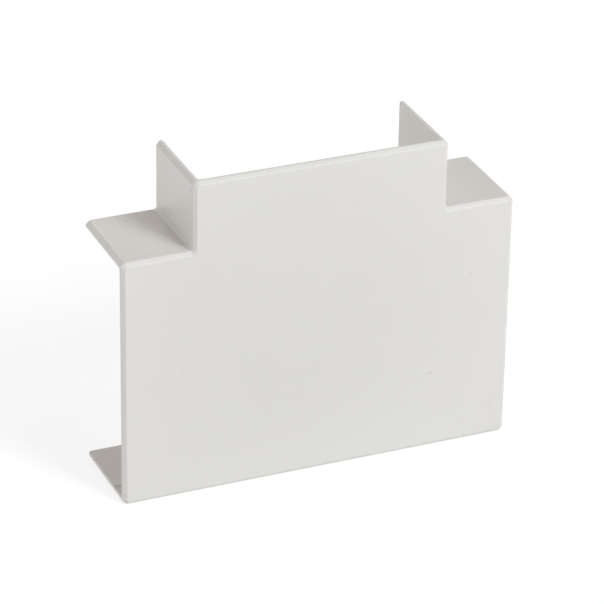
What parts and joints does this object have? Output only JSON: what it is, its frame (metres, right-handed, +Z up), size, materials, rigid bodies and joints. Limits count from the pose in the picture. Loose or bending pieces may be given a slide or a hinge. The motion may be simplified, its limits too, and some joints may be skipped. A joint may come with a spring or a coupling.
{
  "type": "trunking tee fitting",
  "caption": "Moulded tee cover that carries a branch off rectangular cable trunking: flat front plate with side walls, open at the back and at the ends of its arms.",
  "frame": {"origin": "under the middle of the cover, on the surface that it stands on: halfway along the straight run, halfway between the front plate's face and the back rim, at the outer face of the lower side wall", "axes": "+X along the straight run, +Y from the front plate back towards the building wall, +Z up along the branch"},
  "size_m": [0.165, 0.0418, 0.1357],
  "materials": {
    "plastic": "off-white moulded plastic with a fine satin surface"
  },
  "bodies": {
    "root": {"tee_cover": "plastic"}
  },
  "joints": []
}
